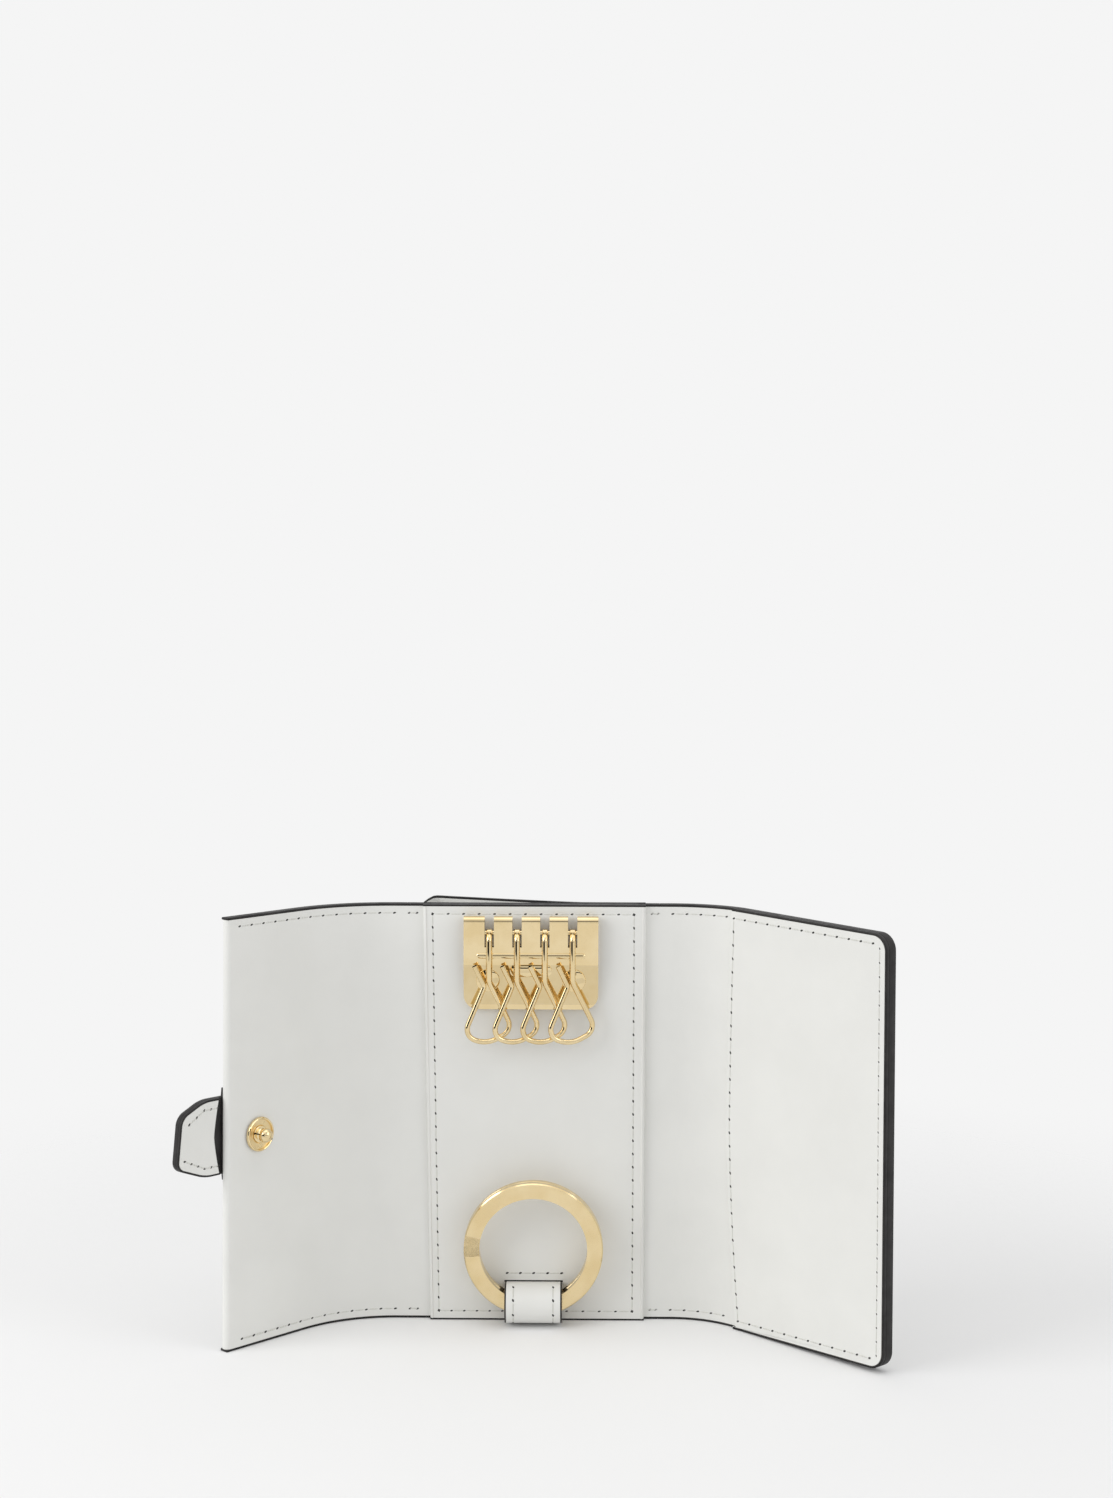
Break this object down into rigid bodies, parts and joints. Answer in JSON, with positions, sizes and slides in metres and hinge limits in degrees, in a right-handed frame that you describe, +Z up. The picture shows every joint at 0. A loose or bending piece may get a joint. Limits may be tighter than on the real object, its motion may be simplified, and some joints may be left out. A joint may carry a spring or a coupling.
{
  "type": "key case",
  "caption": "Folding leather key case standing open like a screen, with a rail of swinging wire key hooks, a split ring on a strap, a snap closure and a card pocket.",
  "frame": {"origin": "on the floor, under the middle of the centre panel, level with the inner faces of the flaps", "axes": "+X to the right along the centre panel as seen from inside, +Y away from the viewer, +Z up"},
  "size_m": [0.1708, 0.0505, 0.105],
  "materials": {
    "leather": "smooth off-white calf with a fine grain, half matt",
    "lining": "smooth off-white lining leather, half matt",
    "edge_paint": "black edge dressing, slightly glossy",
    "board": "plain fibre board, hidden between the leathers",
    "gilt_metal": "pale gold plate, polished"
  },
  "bodies": {
    "centre_panel": {"centre_shell": "leather", "centre_board": "board", "centre_lining": "lining", "centre_edge": "edge_paint", "back_pocket": "leather", "back_pocket_edge": "edge_paint", "rail_plate": "gilt_metal", "rail_pin": "gilt_metal", "rail_rivets": "gilt_metal", "rivet_washers": "gilt_metal", "ring_strap": "leather", "strap_edge": "edge_paint"},
    "left_spine": {"left_crease": "leather", "left_spine_shell": "leather", "left_spine_lining": "lining", "left_spine_edge": "edge_paint"},
    "left_flap": {"left_bend_shell": "leather", "left_bend_lining": "lining", "left_bend_edge": "edge_paint", "left_flap_shell": "leather", "left_flap_board": "board", "left_flap_lining": "lining", "left_flap_edge": "edge_paint", "snap_post": "gilt_metal", "snap_cap": "gilt_metal", "tab_base": "leather", "tab_base_edge": "edge_paint"},
    "closure_tab": {"tab_tongue": "leather", "tab_lining": "lining", "tab_edge": "edge_paint"},
    "right_spine": {"right_crease": "leather", "right_spine_shell": "leather", "right_spine_lining": "lining", "right_spine_edge": "edge_paint"},
    "right_flap": {"right_bend_shell": "leather", "right_bend_lining": "lining", "right_bend_edge": "edge_paint", "right_flap_shell": "leather", "right_flap_board": "board", "right_flap_lining": "lining", "right_flap_edge": "edge_paint", "card_pocket": "lining", "snap_socket": "gilt_metal", "socket_flange": "gilt_metal"},
    "key_ring": {"split_ring": "gilt_metal"},
    "hook_1": {"hook_1": "gilt_metal"},
    "hook_2": {"hook_2": "gilt_metal"},
    "hook_3": {"hook_3": "gilt_metal"},
    "hook_4": {"hook_4": "gilt_metal"}
  },
  "joints": [
    {"name": "left_crease_fold", "type": "hinge", "parent": "centre_panel", "child": "left_spine", "pos_m": [-0.0279, 0, 0], "axis": [0, 0, -1], "range_deg": [-90, 8], "deforming": ["left_crease"]},
    {"name": "left_flap_fold", "type": "hinge", "parent": "left_spine", "child": "left_flap", "pos_m": [-0.0478, 0, 0], "axis": [0, 0, -1], "range_deg": [-44, 46], "deforming": ["left_bend_shell", "left_bend_lining", "left_bend_edge"]},
    {"name": "tab_flex", "type": "hinge", "parent": "left_flap", "child": "closure_tab", "pos_m": [-0.07781, -0.02575, 0.052], "axis": [0, 0, -1], "range_deg": [0, 50], "stiffness_Nm_per_rad": 0.02},
    {"name": "right_crease_fold", "type": "hinge", "parent": "centre_panel", "child": "right_spine", "pos_m": [0.0279, 0, 0], "axis": [0, 0, 1], "range_deg": [-90, 8], "deforming": ["right_crease"]},
    {"name": "right_flap_fold", "type": "hinge", "parent": "right_spine", "child": "right_flap", "pos_m": [0.0436, 0, 0], "axis": [0, 0, 1], "range_deg": [-44, 46], "deforming": ["right_bend_shell", "right_bend_lining", "right_bend_edge"]},
    {"name": "ring_swing", "type": "hinge", "parent": "centre_panel", "child": "key_ring", "pos_m": [0, -0.00538, 0.00568], "axis": [1, 0, 0], "range_deg": [-8, 150]},
    {"name": "hook_1_swing", "type": "hinge", "parent": "centre_panel", "child": "hook_1", "pos_m": [-0.0008, -0.003, 0.09825], "axis": [-1, 0, 0], "range_deg": [0, 80]},
    {"name": "hook_2_swing", "type": "hinge", "parent": "hook_1", "child": "hook_2", "pos_m": [-0.0008, -0.003, 0.09825], "axis": [-1, 0, 0], "range_deg": [0, 14]},
    {"name": "hook_3_swing", "type": "hinge", "parent": "hook_2", "child": "hook_3", "pos_m": [-0.0008, -0.003, 0.09825], "axis": [-1, 0, 0], "range_deg": [0, 14]},
    {"name": "hook_4_swing", "type": "hinge", "parent": "hook_3", "child": "hook_4", "pos_m": [-0.0008, -0.003, 0.09825], "axis": [-1, 0, 0], "range_deg": [0, 14]}
  ]
}
